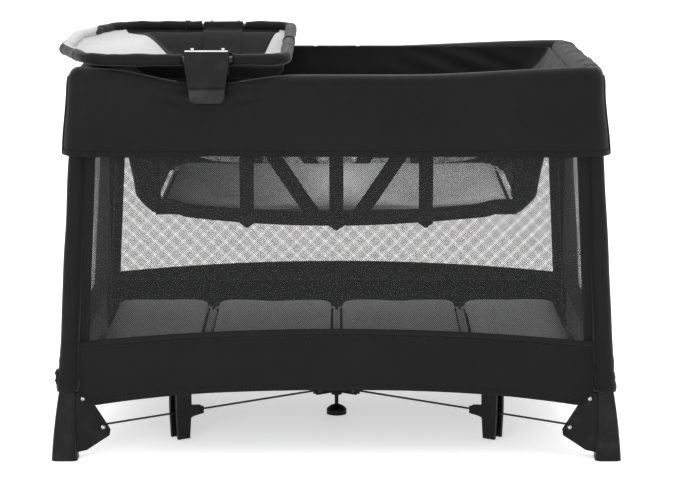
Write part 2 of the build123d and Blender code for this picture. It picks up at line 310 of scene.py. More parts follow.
NET_Y = netting("net_along_y", False, 0.008, half=0.55)
PLASTIC = moulded("black_plastic", 0.005)
# lighter plastic of the clips' lips: a painted highlight along the clips' rim edges
LIP_HIGHLIGHT_PLASTIC = moulded("clip_lip_painted_highlight", 0.016, 0.5)
PAINTED = metal("painted_steel", 0.012, 0.38, False)
PLATED = metal("plated_steel", 0.55, 0.32, True)
WHITE_PLASTIC = moulded("white_plastic", 0.55, 0.4, wear=0.05)


# ---- meshes
def mesh_object(name, shape, material, index=None, smooth=True):
    """An object from (vertices, faces), with every face pointing outwards.

    The material may be a list; index then gives each face its place in that list.
    """
    verts, faces = shape
    mesh = bpy.data.meshes.new(name)
    mesh.from_pydata([tuple(float(c) for c in v) for v in verts], [], [tuple(f) for f in faces])
    for each in material if isinstance(material, list) else [material]:
        mesh.materials.append(each)
    if index is not None:
        mesh.polygons.foreach_set("material_index", index)
    work = bmesh.new()
    work.from_mesh(mesh)
    bmesh.ops.recalc_face_normals(work, faces=work.faces)
    work.to_mesh(mesh)
    work.free()
    mesh.polygons.foreach_set("use_smooth", [smooth] * len(mesh.polygons))
    obj = bpy.data.objects.new(name, mesh)
    bpy.context.scene.collection.objects.link(obj)
    return obj


def merged(parts):
    """Joins (vertices, faces) pairs into one pair."""
    verts, faces, start = [], [], 0
    for part_verts, part_faces in parts:
        verts.extend(part_verts)
        faces.extend(tuple(start + i for i in f) for f in part_faces)
        start += len(part_verts)
    return verts, faces


def layers(upper, lower, wrap=False):
    """A closed shell from two grids of points; wrap joins the last row to the first."""
    m, n = upper.shape[:2]
    rows = m if wrap else m - 1

    def at(layer, i, j):
        return layer * m * n + (i % m) * n + j

    faces = []
    for i in range(rows):
        for j in range(n - 1):
            faces.append((at(0, i, j), at(0, i + 1, j), at(0, i + 1, j + 1), at(0, i, j + 1)))
            faces.append((at(1, i, j), at(1, i, j + 1), at(1, i + 1, j + 1), at(1, i + 1, j)))
        faces.append((at(0, i, 0), at(1, i, 0), at(1, i + 1, 0), at(0, i + 1, 0)))
        faces.append((at(0, i, n - 1), at(0, i + 1, n - 1), at(1, i + 1, n - 1), at(1, i, n - 1)))
    if not wrap:
        for j in range(n - 1):
            faces.append((at(0, 0, j), at(0, 0, j + 1), at(1, 0, j + 1), at(1, 0, j)))
            faces.append((at(0, m - 1, j), at(1, m - 1, j), at(1, m - 1, j + 1), at(0, m - 1, j + 1)))
    verts = np.concatenate([upper.reshape(-1, 3), lower.reshape(-1, 3)])
    return list(verts), faces


def grid_normals(grid, wrap=False):
    if wrap:
        along = np.roll(grid, -1, 0) - np.roll(grid, 1, 0)
    else:
        along = np.gradient(grid, axis=0)
    across = np.gradient(grid, axis=1)
    normals = np.cross(along, across)
    length = np.linalg.norm(normals, axis=2, keepdims=True)
    return normals / np.maximum(length, 1e-12)


def thick_sheet(grid, thickness, wrap=False):
    """A closed shell of a given thickness (a number or an array) about a grid of points."""
    half = np.broadcast_to(np.asarray(thickness) / 2, grid.shape[:2])[..., None]
    normals = grid_normals(grid, wrap)
    return layers(grid + normals * half, grid - normals * half, wrap)


def loft(rings):
    """A closed solid through rings of points, each end closed by a fan round its middle."""
    count = len(rings[0])
    verts = [p for ring in rings for p in ring]
    faces = []
    for i in range(len(rings) - 1):
        for j in range(count):
            k = (j + 1) % count
            faces.append((i * count + j, i * count + k, (i + 1) * count + k, (i + 1) * count + j))
    for ring, start in ((rings[0], 0), (rings[-1], (len(rings) - 1) * count)):
        hub = len(verts)
        verts.append(np.mean(ring, axis=0))
        faces.extend((start + j, start + (j + 1) % count, hub) for j in range(count))
    return verts, faces


def path_frames(path):
    """Unit tangents of a path, and two unit normals that keep one of them near upright."""
    tangents = np.gradient(path, axis=0)
    tangents /= np.linalg.norm(tangents, axis=1, keepdims=True)
    up = np.array([0.0, 0.0, 1.0])
    if np.abs(tangents[:, 2]).max() > 0.8:
        up = np.array([0.0, 1.0, 0.0])
    sides = np.cross(tangents, up)
    sides /= np.linalg.norm(sides, axis=1, keepdims=True)
    return tangents, sides, np.cross(sides, tangents)


def tube(path, radius, sides=16, flat=1.0):
    """A solid tube along a path; radius is a number or an array (stations, sides)."""
    path = np.asarray(path, float)
    _, side, up = path_frames(path)
    angles = np.linspace(0, 2 * math.pi, sides, endpoint=False)
    reach = np.broadcast_to(np.asarray(radius, float), (len(path), sides))
    rings = (path[:, None] + side[:, None] * (np.cos(angles) * reach)[..., None] * flat
             + up[:, None] * (np.sin(angles) * reach)[..., None])
    return loft(list(rings))


def measured(path):
    """A polyline as an array, and how far along it each of its points is."""
    path = np.asarray(path, float)
    steps = np.linalg.norm(np.diff(path, axis=0), axis=1)
    return path, np.concatenate([[0], np.cumsum(steps)])


def points_at(places, lengths, path):
    """Points of a polyline at some distances along it."""
    return np.stack([np.interp(places, lengths, path[:, k]) for k in range(3)], 1)


def spaced(path, step):
    """Points evenly spaced along a polyline."""
    path, lengths = measured(path)
    count = max(2, int(round(lengths[-1] / step)) + 1)
    return points_at(np.linspace(0, lengths[-1], count), lengths, path)


def spaced_count(path, count):
    """A number of evenly spaced points along a polyline."""
    path, lengths = measured(path)
    return points_at(np.linspace(0, lengths[-1], count), lengths, path)


def arc_corner(points, radii, step=0.006):
    """A polyline with its corners rounded, as evenly spaced points."""
    points = [np.array(p, float) for p in points]
    out = [points[0]]
    for before, corner, after, radius in zip(points, points[1:], points[2:], radii):
        a = (before - corner) / np.linalg.norm(before - corner)
        b = (after - corner) / np.linalg.norm(after - corner)
        half = math.acos(float(np.clip(a @ b, -1, 1))) / 2
        reach = radius / math.tan(half)
        start, end = corner + a * reach, corner + b * reach
        middle = corner + (a + b) / np.linalg.norm(a + b) * radius / math.sin(half)
        turn = math.pi - 2 * half
        for k in range(13):
            w = k / 12
            s = math.sin(turn) or 1.0
            p = (math.sin((1 - w) * turn) * (start - middle) + math.sin(w * turn) * (end - middle)) / s
            out.append(middle + p)
    out.append(points[-1])
    return spaced(out, step)


def rectangle_path(low_x, high_x, low_y, high_y, z, radius):
    """A level rectangle with round corners, closed at the middle of its front edge."""
    plan = ((low_x, low_y, z), (high_x, low_y, z), (high_x, high_y, z), (low_x, high_y, z))
    corners = [np.array(point) for point in plan]
    middle = (corners[0] + corners[1]) / 2
    return arc_corner([middle, *corners[1:], corners[0], middle], [radius] * 4)


def stitches(path, normals, gap=0.0065, length=0.0042, width=0.0009):
    """Short raised threads along a seam, lying on the surface that the normals give."""
    path, lengths = measured(path)
    places = np.arange(gap, lengths[-1] - gap, gap)
    middle = points_at(places, lengths, path)
    normal = points_at(places, lengths, np.asarray(normals, float))
    tangent = np.gradient(middle, axis=0)
    tangent /= np.linalg.norm(tangent, axis=1, keepdims=True)
    side = np.cross(tangent, normal)
    parts = []
    for p, t, n, s in zip(middle, tangent, normal, side):
        ends = []
        for along, size in ((-0.5, 0.35), (-0.3, 1.0), (0.3, 1.0), (0.5, 0.35)):
            centre = p + t * along * length
            ring = [centre + s * width * 0.5 * size * c + n * width * 0.6 * size * h
                    for c, h in ((1, -0.4), (0.6, 0.9), (-0.6, 0.9), (-1, -0.4))]
            ends.append(np.array(ring))
        parts.append(loft(ends))
    return merged(parts)


# ---- how pieces follow the fold
LEG_X = LEG_TOP[0]
LEG_Y = LEG_TOP[1]
KEEP_X = 0.322
KEEP_Y = 0.341
SIDES = {
    "front": ("leg_front_left", (1, 0, 0), (-LEG_X, 0, 0), KEEP_X),
    "back": ("leg_back_left", (1, 0, 0), (-LEG_X, 0, 0), KEEP_X),
    "left": ("leg_front_left", (0, 1, 0), (0, -LEG_Y, 0), KEEP_Y),
    "right": ("leg_front_right", (0, 1, 0), (0, -LEG_Y, 0), KEEP_Y),
}


def gather(obj, side, body=None):
    """Lets a piece follow one side of the yard: it rides that side's body, or the body given, on a mesh of
    its own.
    """
    home, axis, anchor, keep = SIDES[side]
    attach(obj, body or home)
    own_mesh(obj)
    return obj


def side_piece(name, shape, material, side, body=None, index=None, replaces=None):
    """A soft piece that follows one side of the yard."""
    obj = mesh_object(name, shape, material, index)
    if replaces:
        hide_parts(replaces)
    return gather(obj, side, body)


def body_piece(name, shape, material, body, index=None, smooth=True):
    """A piece that rides one body."""
    obj = mesh_object(name, shape, material, index, smooth)
    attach(obj, body)
    return obj


# ---- padded covers of the top rails
CROWN_RISE = 0.020
HEM_ROLL = 0.011
HEM_OUT = 0.009
TOP_IN = 0.003
CORNER_PUFF = 0.015
COVER_SKIN = 0.0022
CLIP_PRESS = 0.017
BACK_RAIL_SAG = 0.015


def long_plan(sign):
    """Outer and inner plan points of the front or back cover, round both of its corners."""
    square = 2 / 3
    cx = COVER_IN_X - 0.004
    cy = COVER_IN_Y - 0.005
    rx = COVER_X - cx
    ry = COVER_Y - cy
    turn = np.linspace(0.0, 1.0, 16) * math.pi / 2
    outer = [(-cx - rx * math.cos(a) ** square, -cy - ry * math.sin(a) ** square) for a in turn]
    inner = [(-cx - 0.004 * math.cos(a), -cy - 0.005 * math.sin(a)) for a in turn]
    straight = np.linspace(-cx, cx, 170)[1:-1]
    outer += [(x, -COVER_Y) for x in straight]
    inner += [(x, -COVER_IN_Y) for x in straight]
    outer += [(-x, y) for x, y in outer[15::-1]]
    inner += [(-x, y) for x, y in inner[15::-1]]
    flip = np.array([1, -sign])
    return np.array(outer) * flip, np.array(inner) * flip


def short_plan(sign):
    y = np.linspace(-COVER_IN_Y + 0.005, COVER_IN_Y - 0.005, 96)
    outer = np.stack([np.full_like(y, COVER_X * sign), y], 1)
    inner = np.stack([np.full_like(y, COVER_IN_X * sign), y], 1)
    return outer, inner


def crown_height(x, y, side):
    """Height of the cover's top: puffed at the front corners, sagging between, pressed by the clips."""
    crown = COVER_TOP - COVER_SKIN
    if side == "front":
        corner = np.hypot(np.abs(x) - COVER_X, np.abs(y) - COVER_Y)
        press = CLIP_PRESS * hump(x, SPLIT_X, 0.17)
        return crown + CORNER_PUFF * ease(1 - corner / np.where(x < 0, 0.22, 0.38)) - press
    if side == "back":
        return crown - BACK_RAIL_SAG * hump(x, 0.0, 0.50)
    return crown + CORNER_PUFF * ease(1 - (y + COVER_Y) / (0.16 if side == "left" else 0.66))


def cover_shape(side, seed):
    """The cover's two surfaces, and the lines its hem stitching follows."""
    sign = outward(side)
    outer, inner = long_plan(sign) if side in LONG_SIDES else short_plan(sign)
    middle = (outer + inner) / 2
    half = np.linalg.norm(outer - inner, axis=1) / 2
    out = (outer - inner) / (2 * half[:, None])
    spring = COVER_TOP - CROWN_RISE - 0.004
    crown = crown_height(middle[:, 0], middle[:, 1], side)
    hem_rows = [0.0, 0.0015, 0.004, 0.007, 0.0095, HEM_ROLL, 0.0125, 0.015, 0.019]
    rise = spring - COVER_HEM
    wall_rows = hem_rows + list(np.linspace(0.026, rise, 22))
    inner_rows = list(np.linspace(0.0, spring - COVER_HEM - 0.025, 15))[::-1]
    inner_rows = inner_rows[:-1] + [0.004, 0.0]
    semi = half - TOP_IN / 2
    grid, weight = [], []
    for row in wall_rows:
        t = ease(row / rise) * 0.75 + 0.25 * row / rise
        grid.append((half + HEM_OUT - (HEM_OUT + TOP_IN) * t, np.full_like(half, COVER_HEM + row)))
        weight.append(0.006 if row < HEM_ROLL - 0.001 else 0.0022 if row < 0.014 else 0.0036)
    for angle in np.linspace(0, math.pi, 17)[1:-1]:
        c = math.cos(angle)
        s = math.sin(angle)
        grid.append((-TOP_IN / 2 + semi * math.copysign(abs(c) ** 0.8, c),
                     spring + (crown - spring) * s ** 0.85))
        weight.append(0.0045)
    for row in inner_rows:
        grid.append((-half, np.full_like(half, COVER_HEM + 0.025 + row)))
        weight.append(0.0036 if row > 0.003 else 0.005)
    across = np.array([g[0] for g in grid]).T
    height = np.array([g[1] for g in grid]).T
    points = np.concatenate([middle[:, None] + out[:, None] * across[..., None], height[..., None]], 2)

    count = len(wall_rows)
    rows = np.arange(points.shape[1])
    face = np.where(rows < count, 1.0, np.where(rows < count + 15, 0.6, 0.5))
    broad = wander(points * np.array([1, 1, 0.6]), 7.0, seed) * 0.0034
    pleats = wander(points * np.array([1, 1, 0.14]), 34.0, seed + 5) * 0.0011
    near_hem = ease(1 - (points[..., 2] - COVER_HEM) / 0.05)
    near_top = ease((points[..., 2] - spring + 0.05) / 0.05)
    across_rail = np.array([1.0, 0.2, 0.25]) if side in LONG_SIDES else np.array([0.2, 1.0, 0.25])
    squeezed = points * across_rail
    gathers = wander(squeezed, 55.0, seed + 9) + 0.5 * wander(squeezed, 110.0, seed + 13)
    if side in LONG_SIDES:
        gathers = gathers * 0.5 * ease((np.abs(points[..., 0]) - 0.37) / 0.1)
    gathers = gathers * near_top * (0.0042 if side == "right" else 0.0018)
    pull = broad + pleats * (0.5 + near_hem) + gathers
    pull = np.where(np.abs(points[..., 0]) > COVER_IN_X, np.maximum(pull, -0.0005), pull)
    if side == "front":
        off = points[..., 0] - SPLIT_X
        fan = np.sin((np.abs(off) * 0.35 + (COVER_TOP - points[..., 2])) * 150) ** 3
        pull = pull + 0.0032 * fan * hump(off, 0.0, 0.20) * near_top
        pull = pull - 0.002 * hump(off, 0.0, 0.05)
        below = crown[:, None] - points[..., 2]
        creases = hump(below, 0.013, 0.007) - 0.6 * hump(below, 0.022, 0.007)
        creases = creases + 0.6 * hump(below, 0.033, 0.008)
        pull = pull - 0.0042 * creases * hump(np.abs(off), 0.065, 0.060) * (rows < count + 5)
    points[..., :2] += out[:, None] * (pull * face)[..., None]
    points[..., 2] += gathers * ((rows >= count) & (rows < count + 15))
    low_edge = ease((COVER_HEM + 0.03 - points[..., 2]) / 0.03)
    points[..., 2] += 0.0022 * wander(points, 11.0, seed + 2) * low_edge
    return points, np.array(weight), out


def make_cover(side, seed):
    points, weight, out = cover_shape(side, seed)
    obj = side_piece(f"rail_cover_{side}", thick_sheet(points, weight[None, :]), BLACK_CLOTH, side,
                     replaces=f"cover_{side}")
    normals = np.concatenate([out, np.zeros((len(out), 1))], 1)
    line = points[:, 6] + normals * (weight[6] / 2)
    side_piece(f"stitching_hem_{side}", stitches(line, normals), THREAD, side)
    if side in LONG_SIDES:
        for index, end in ((3, "left"), (len(points) - 4, "right")):
            line = spaced(points[index, 1:34] + normals[index] * 0.0022, 0.004)
            side_piece(f"corner_welt_{side}_{end}", tube(line, 0.0024, 10), TAPE, side)


for number, side in enumerate(SIDES):
    make_cover(side, 11.0 + 7.0 * number)


# ---- net walls and lower bands
WALL_TOP = 0.662
WALL_LOW = BAND_TOP - 0.035
BAND_SAG = 0.026
HEM_SAG = 0.030
BAND_FOOT = 0.92
NET_THICK = 0.0010
TAPE_THICK = 0.0026
LONG_BINDING = (0.939, 0.999)
SHORT_BINDING = (0.905, 0.998)
CLOTH_THICK = 0.0022


def upright_point(side, u, z, stand_x, stand_y, inset):
    """A point of an upright cloth: u runs from -1 to 1 between the legs, stand is how far out it is."""
    leg_x, leg_y = leg_axis(z)
    if side in LONG_SIDES:
        return np.array([u * (leg_x - inset), outward(side) * stand_y, z])
    return np.array([outward(side) * stand_x, u * (leg_y - inset), z])


def wall_point(side, u, z, offset=0.0):
    return upright_point(side, u, z, WALL_X + offset, WALL_Y + offset, 0.006)


def band_point(side, u, z, offset=0.0):
    return upright_point(side, u, z, BAND_X + offset, BAND_Y + offset, 0.012)


def make_wall(side):
    long_side = side in LONG_SIDES
    us = np.linspace(-1, 1, 81 if long_side else 51)
    zs = np.linspace(WALL_LOW, WALL_TOP, 31)
    grid = np.array([[wall_point(side, u, z) for z in zs] for u in us])
    wave = wander(grid, 5.0, 40.0 + len(side)) * 0.0015
    grid[..., 1 if long_side else 0] += wave
    net = side_piece(f"net_wall_{side}", thick_sheet(grid, NET_THICK), NET_X if long_side else NET_Y, side,
                     replaces=f"wall_{side}")
    tapes = []
    for end in (-1, 1):
        inner, outer = LONG_BINDING if long_side else SHORT_BINDING
        us = np.linspace(end * inner, end * outer, 5)
        rows = np.linspace(WALL_LOW, WALL_TOP, 60)
        strip = np.array([[wall_point(side, u, z, 0.0012) for u in us] for z in rows])
        tapes.append(thick_sheet(strip, TAPE_THICK))
    tape = side_piece(f"net_binding_{side}", merged(tapes), TAPE, side)


def band_edges(u, long_side):
    """Top and hem height of a lower band at u from -1 to 1."""
    share = abs(u)
    top = BAND_TOP + 0.002 - BAND_SAG * share ** 2
    drop = HEM_SAG * (share / BAND_FOOT) ** 2.5
    if share > BAND_FOOT:
        drop = HEM_SAG - 0.024 * (share - BAND_FOOT) / (1 - BAND_FOOT)
    return top, BAND_HEM - drop * (1.0 if long_side else 0.8)


def make_band(side):
    long_side = side in LONG_SIDES
    us = np.linspace(-1, 1, 161 if long_side else 101)
    rows = np.concatenate([[0, 0.012, 0.03, 0.06, 0.075, 0.09], np.linspace(0.14, 0.9, 16), [0.95, 1.0]])
    grid = []
    for u in us:
        top, hem = band_edges(u, long_side)
        grid.append([band_point(side, u, hem + r * (top - hem)) for r in rows])
    grid = np.array(grid)
    k = 1 if long_side else 0
    sign = outward(side)
    stretch = np.array([1, 1, 0.35])
    ends = ease((np.abs(us) - 0.72) / 0.28)[:, None]
    wave = wander(grid * stretch, 8.0, 50.0 + len(side)) * 0.0022
    wave = wave + wander(grid * stretch, 38.0, 60.0 + len(side)) * 0.0012 * (0.4 + ends)
    wave = wave + 0.0018 * np.sin(np.linspace(0, math.pi, len(rows)))[None, :]
    grid[..., k] += sign * wave
    thick = np.where(rows < 0.07, 0.0046, np.where(rows < 0.1, 0.0020, 0.0030))
    band = side_piece(f"lower_band_{side}", thick_sheet(grid, thick[None, :]), BLACK_CLOTH, side,
                      replaces=f"band_{side}")
    out = np.zeros(3)
    out[k] = sign
    top_line = spaced([band_point(side, u, band_edges(u, long_side)[0], 0.0012) for u in us], 0.006)
    angles = np.linspace(0, 2 * math.pi, 16, endpoint=False)
    ring = 1 / (np.abs(np.cos(angles) / 0.0032) ** 3 + np.abs(np.sin(angles) / 0.0052) ** 3) ** (1 / 3)
    binding = side_piece(f"band_binding_{side}", tube(top_line, ring[None, :], 16), TAPE, side)
    lines = (grid[:, 4] + out * 0.0022, grid[:, -2] + out * 0.0024 - np.array([0, 0, 0.004]))
    threads = [stitches(line, np.tile(out, (len(line), 1))) for line in lines]
    side_piece(f"stitching_band_{side}", merged(threads), THREAD, side)


for side in SIDES:
    make_wall(side)
    make_band(side)


# ---- leg sleeves
SLEEVE_TOP = 0.655
BUCKLE_Z = 0.160


def sleeve_radius(z):
    """The sleeve widens steadily towards the foot."""
    return 0.0155 + 0.0040 * (SLEEVE_TOP - z) / 0.5


def make_sleeve(corner, seed):
    """Fabric sleeve of one leg, gathered above the foot."""
    sx, sy = CORNERS[corner]
    rings = []
    low, high = FOOT_TOP + 0.001, SLEEVE_TOP
    levels = np.concatenate([np.arange(low, 0.25, 0.0035), np.arange(0.25, high, 0.012)])
    angles = np.linspace(0, 2 * math.pi, 40, endpoint=False)
    for z in levels:
        leg_x, leg_y = leg_axis(z)
        middle = np.array([sx * leg_x, sy * leg_y, z])
        radius = sleeve_radius(z)
        ring = np.array([middle + radius * np.array([math.cos(a), math.sin(a), 0]) for a in angles])
        foot = ease(1 - (z - low) / 0.09)
        crease = wander(ring * np.array([0.5, 0.5, 2.2]), 48.0, seed) * 0.0030 * foot
        crease = crease + wander(ring * np.array([1, 1, 0.45]), 24.0, seed + 3) * 0.0016
        hem = 0.0016 * hump(z, low + 0.006, 0.006)
        ring += (ring - middle) / radius * (crease + hem + 0.0012 * foot)[:, None]
        rings.append(ring)
    obj = body_piece(f"leg_sleeve_{corner}", loft(rings), SLEEVE_CLOTH, f"leg_{corner}")


for number, corner in enumerate(CORNERS):
    make_sleeve(corner, 80.0 + 9 * number)


def rounded_block(low, high, round_by, segments=3):
    """Vertices and faces of a box with its edges rounded."""
    work = bmesh.new()
    bmesh.ops.create_cube(work, size=1.0)
    low, high = np.array(low, float), np.array(high, float)
    for v in work.verts:
        v.co = Vector((low + high) / 2 + np.array(v.co) * (high - low))
    bmesh.ops.bevel(work, geom=list(work.edges), offset=round_by, segments=segments, affect="EDGES",
                    profile=0.5)
    work.verts.index_update()
    verts = [np.array(v.co) for v in work.verts]
    faces = [tuple(v.index for v in f.verts) for f in work.faces]
    work.free()
    return verts, faces


def make_leg_buckle():
    """Small side-release clip on the outer side of the front left sleeve."""
    z = BUCKLE_Z
    leg_x, leg_y = leg_axis(z)
    x = -leg_x - sleeve_radius(z)
    parts = [rounded_block((x - 0.0045, -leg_y - 0.009, z - 0.014),
                           (x + 0.004, -leg_y + 0.009, z + 0.014), 0.0022)]
    for dz in (-0.007, 0.007):
        parts.append(rounded_block((x - 0.0062, -leg_y - 0.006, z + dz - 0.0022),
                                   (x - 0.0030, -leg_y + 0.006, z + dz + 0.0022), 0.0008))
    body_piece("leg_buckle", merged(parts), PLASTIC, "leg_front_left", smooth=False)


make_leg_buckle()


# ---- simulation of padded pieces
SWELL_PRESSURE = 4.0
SWELL_FRAMES = 20


def bake_modifiers(obj):
    """Replaces the object's mesh by what its modifiers make of it."""
    graph = bpy.context.evaluated_depsgraph_get()
    mesh = bpy.data.meshes.new_from_object(obj.evaluated_get(graph))
    obj.modifiers.clear()
    obj.data = mesh


def remeshed(obj, voxel):
    """Gives the object an even mesh, and returns its points."""
    remesh = obj.modifiers.new("Remesh", "REMESH")
    remesh.mode = "VOXEL"
    remesh.voxel_size = voxel
    bake_modifiers(obj)
    return points_of(obj)


def puffed(obj, voxel, cap, floor_z):
    """Swells a closed piece with Blender's cloth, keeping each point within cap of its start."""
    bpy.context.view_layer.objects.active = obj
    start = remeshed(obj, voxel)
    cloth = obj.modifiers.new("Cloth", "CLOTH")
    cloth.settings.use_pressure = True
    cloth.settings.uniform_pressure_force = SWELL_PRESSURE
    cloth.settings.effector_weights.gravity = 0.0
    cloth.settings.quality = 4
    cloth.point_cache.frame_start = 1
    cloth.point_cache.frame_end = SWELL_FRAMES
    for step in range(1, SWELL_FRAMES + 1):
        bpy.context.scene.frame_set(step)
    bake_modifiers(obj)
    bpy.context.scene.frame_set(1)
    shift = points_of(obj) - start
    length = np.linalg.norm(shift, axis=1, keepdims=True)
    end = start + shift * np.minimum(1.0, cap / np.maximum(length, 1e-9))
    end[:, 2] = np.maximum(end[:, 2], floor_z)
    return end


def set_points(obj, points):
    obj.data.vertices.foreach_set("co", np.asarray(points, np.float32).ravel())
    obj.data.update()
    obj.data.polygons.foreach_set("use_smooth", [True] * len(obj.data.polygons))


# ---- floor and mattress
def make_floor():
    """Floor cloth under the mattress, with a webbing edge."""
    low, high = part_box("floor_panel")
    xs = np.linspace(low.x, high.x, 95)
    ys = np.linspace(low.y, high.y, 63)
    z = (low.z + high.z) / 2
    grid = np.array([[(x, y, z) for y in ys] for x in xs])
    grid[..., 2] += wander(grid, 6.0, 120.0) * 0.0012
    grid[..., 2] -= 0.0012 * hump(grid[..., 0], 0, 0.4) * hump(grid[..., 1], 0, 0.25)
    cloth = side_piece("floor_cloth", thick_sheet(grid, CLOTH_THICK), BLACK_CLOTH, "front",
                       replaces="floor_panel")
    line = rectangle_path(low.x, high.x, low.y, high.y, z, 0.012)
    edge = side_piece("floor_edge_binding", tube(line, 0.0028, 8, 1.6), TAPE, "front")


FOLD_LINES = (-0.265, 0.0, 0.265)


def make_mattress():
    """Folding mattress: four padded panels on boards, with flexible seams between them."""
    low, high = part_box("mattress")
    bounds = [low.x, *FOLD_LINES, high.x]
    skin = 0.0035
    half_gap = 0.0035
    parts = []
    for left, right in zip(bounds, bounds[1:]):
        end_left = 0.0 if left == low.x else half_gap
        end_right = 0.0 if right == high.x else half_gap
        parts.append(rounded_block((left + end_left + skin, low.y + skin, low.z + 0.0005),
                                   (right - end_right - skin, high.y - skin, high.z - 0.006), 0.010, 3))
    obj = mesh_object("mattress_panels", merged(parts), [PALE_CLOTH, BOARD_CLOTH])
    points = puffed(obj, voxel=0.0068, cap=0.0055, floor_z=low.z)
    centres = [(a + b) / 2 for a, b in zip(bounds, bounds[1:])]
    panel = np.digitize(points[:, 0], FOLD_LINES)
    half_x = np.array([(b - a) / 2 for a, b in zip(bounds, bounds[1:])])[panel]
    away = np.abs(points[:, 0] - np.array(centres)[panel]) / half_x
    side_y = np.abs(points[:, 1]) / high.y
    upper = ease((points[:, 2] - low.z) / (high.z - low.z))
    points[:, 2] += upper * 0.004 * (1 - away ** 4) * (1 - side_y ** 6)
    points[:, 2] += upper * 0.0014 * wander(points, 9.0, 130.0)
    points[:, 2] = np.clip(points[:, 2], low.z, high.z + 0.004)
    set_points(obj, points)
    tag_by_height(obj, low.z + 0.006)
    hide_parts("mattress")
    gather(obj, "front", "mattress")
    welts, hinges = [], []
    for left, right in zip(bounds, bounds[1:]):
        line = rectangle_path(left + 0.005, right - 0.005, low.y, high.y, low.z + 0.011, 0.012)
        welts.append(tube(line, 0.0022, 8))
    for x in FOLD_LINES:
        ys = np.linspace(low.y + 0.006, high.y - 0.006, 60)
        arch = [(x + w * 0.007, low.z + 0.0025 + 0.0035 * (1 - w * w)) for w in np.linspace(-1, 1, 7)]
        strip = np.array([[(across, y, z) for across, z in arch] for y in ys])
        strip[..., 2] += wander(strip, 20.0, 133.0) * 0.0008
        hinges.append(thick_sheet(strip, 0.0016))
    for name, shapes in (("mattress_welts", welts), ("mattress_fold_seams", hinges)):
        side_piece(name, merged(shapes), PALE_CLOTH, "front", "mattress")


def tag_by_height(obj, height):
    """The second material on faces below a height."""
    for polygon in obj.data.polygons:
        polygon.material_index = 1 if polygon.center.z < height else 0


make_floor()
make_mattress()


# ---- bassinet
BEVEL_TOP = 0.497
SHELL_LOW_Y = 0.274
SHELL_TOP = 0.662
BAR_HALF = 0.0135
BASE_HIGH = 0.027
END_PANEL_X = 0.331
BAR_PLACES = (-0.170, 0.0, 0.170)
SLANT_TOP = 0.176
SLANT_LOW = 0.044
SLANT_HALF = 0.0165
BOARD_X = 0.345
BOARD_Y = 0.262


def shell_half(z):
    """Half length and half width of the bassinet's walls at a height."""
    half_x = 0.381 + 0.019 * float(ease((z - 0.49) / 0.13))
    half_y = SHELL_LOW_Y + (z - shell_low.z) / (shell_high.z - shell_low.z) * (shell_high.y - SHELL_LOW_Y)
    inset = min(0.030, 0.95 * max(0.0, BEVEL_TOP - z))
    return half_x - inset, half_y - 0.25 * inset


def shell_ring(z, offset=0.0, count=240):
    """Plan ring of the shell at a height, a rounded rectangle as evenly turned points."""
    half_x, half_y = shell_half(z)
    half_x += offset
    half_y += offset
    radius = 0.030
    points = []
    for cx, cy, start in ((1, -1, -90), (1, 1, 0), (-1, 1, 90), (-1, -1, 180)):
        for a in np.radians(np.linspace(start, start + 90, 9)):
            points.append((cx * (half_x - radius) + radius * math.cos(a),
                           cy * (half_y - radius) + radius * math.sin(a), z))
    points.append(points[0])
    path, lengths = measured(points)
    return points_at(np.linspace(0, lengths[-1], count, endpoint=False), lengths, path)


def bottom_z(x):
    """The shell's lower edge: lowest in the middle, rising to the ends with a step at the end panels."""
    rise = 0.19 * np.asarray(x) ** 2 + 0.006 * ease((np.abs(x) - 0.285) / 0.03)
    return shell_low.z + np.minimum(rise, 0.025)


def shell_grid(lowest, highest, shares, offset=0.0):
    """Rows of points round the shell between two edges, each given as a function of x."""
    levels = np.linspace(shell_low.z + 0.006, SHELL_TOP, 60)
    rings = np.array([shell_ring(z, offset) for z in levels])
    x = rings[30, :, 0]
    low, high = lowest(x), highest(x)
    z = low[:, None] + np.asarray(shares)[None, :] * (high - low)[:, None]
    flat = [[np.interp(row, levels, rings[:, i, k]) for i, row in enumerate(z)] for k in (0, 1)]
    return np.stack([*np.array(flat), z], 2)


def shell_face(side, u, z, offset):
    """A point on one wall: u is metres along it from its middle."""
    half_x, half_y = shell_half(z)
    if side in LONG_SIDES:
        return (u, outward(side) * (half_y + offset), z)
    return (outward(side) * (half_x + offset), u, z)


def bar_strip(side, top_u, low_u, half, z_top, z_low, offset=0.0012):
    """A flat fabric bar on one wall of the bassinet, from its top end to its low end."""
    rows = np.linspace(0, 1, 24)
    grid = []
    for t in rows:
        z = z_top + t * (z_low - z_top)
        u = top_u + t * (low_u - top_u)
        grid.append([shell_face(side, u + w * half, z, offset) for w in np.linspace(-1, 1, 5)])
    return thick_sheet(np.array(grid), TAPE_THICK)


def make_bassinet():
    def base_top(x):
        return bottom_z(x) + BASE_HIGH - 0.005

    def shell_top(x):
        return np.full_like(x, SHELL_TOP)

    rows = np.linspace(0, 1, 22)
    verts, faces = thick_sheet(shell_grid(base_top, shell_top, rows), NET_THICK, wrap=True)
    half_x, half_y = shell_half(0.6)
    index = []
    for f in faces:
        middle = np.mean([verts[i] for i in f], axis=0)
        index.append(0 if abs(middle[1]) / half_y > abs(middle[0]) / half_x else 1)
    net = side_piece("bassinet_net", (verts, faces), [NET_X, NET_Y], "front", index=index,
                     replaces="bassinet_shell")
    bars = side_piece("bassinet_bars", merged(bassinet_bars()), DEEP_CLOTH, "front")

    hem_grid = shell_grid(lambda x: shell_top(x) - 0.022, shell_top, np.linspace(0, 1, 6), 0.0016)
    side_piece("bassinet_top_hem", thick_sheet(hem_grid, 0.0036, wrap=True), DEEP_CLOTH, "front")
    make_bassinet_skirt()
    make_bassinet_base()
    make_bassinet_tabs()


